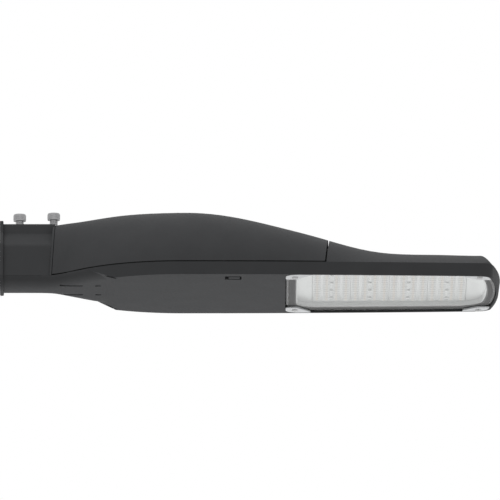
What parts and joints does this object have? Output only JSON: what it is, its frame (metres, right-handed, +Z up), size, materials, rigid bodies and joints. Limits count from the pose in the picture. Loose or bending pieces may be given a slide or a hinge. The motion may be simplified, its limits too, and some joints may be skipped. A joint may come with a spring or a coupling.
{
  "type": "led street light",
  "caption": "Flat LED road luminaire with a pole socket, clamp screws, hinged domed gear cover and a glazed light opening with white reflector and lens plates.",
  "frame": {"origin": "centre of the pole socket's mouth, on the socket's axis", "axes": "+X along the socket towards the light end, +Z up when installed level"},
  "size_m": [0.65, 0.2848, 0.1076],
  "materials": {
    "powder_coat": "fine textured powder coat",
    "rubber": "matte",
    "silicone": "grey moulded",
    "steel": "stainless",
    "clear_glass": "clear toughened",
    "clamp_plastic": "light grey moulded",
    "white_plastic": "satin white",
    "lens_plastic": "clear moulded over white boards",
    "board": "white solder mask",
    "bare_aluminium": "rolled",
    "sheet_steel": "zinc coated",
    "gear_case": "satin",
    "terminal_plastic": "moulded"
  },
  "bodies": {
    "body": {"housing": "powder_coat", "cover_gasket": "rubber", "cable_grommet": "rubber", "glass_seal": "silicone", "hinge_pins": "steel", "pole_screws": "steel", "glass_clamp_screws": "steel", "lens_screws": "steel", "heat_spreader_screws": "steel", "gear_tray_screws": "steel", "driver_screws": "steel", "cable_clamp_screws": "steel", "glass": "clear_glass", "glass_clamp_rear_left": "clamp_plastic", "glass_clamp_rear_right": "clamp_plastic", "glass_clamp_front_left": "clamp_plastic", "glass_clamp_front_right": "clamp_plastic", "reflector": "white_plastic", "lens_plate_1": "lens_plastic", "lens_plate_2": "lens_plastic", "lens_plate_3": "lens_plastic", "lens_plate_4": "lens_plastic", "led_board_1": "board", "led_board_2": "board", "led_board_3": "board", "led_board_4": "board", "heat_spreader": "bare_aluminium", "gear_tray": "sheet_steel", "driver": "gear_case", "surge_protector": "gear_case", "terminal_block": "terminal_plastic", "cable_clamp": "terminal_plastic", "cable_clamp_bar": "terminal_plastic"},
    "cover": {"top_cover": "powder_coat"},
    "latch": {"latch_slider": "powder_coat"}
  },
  "joints": [
    {"name": "cover_hinge", "type": "hinge", "parent": "body", "child": "cover", "pos_m": [0.0789, 0, 0.0372], "axis": [0, -1, 0], "range_deg": [0, 55]},
    {"name": "latch_slide", "type": "slide", "parent": "body", "child": "latch", "axis": [-1, 0, 0], "range_m": [0, 0.0044], "stiffness_N_per_m": 300}
  ]
}
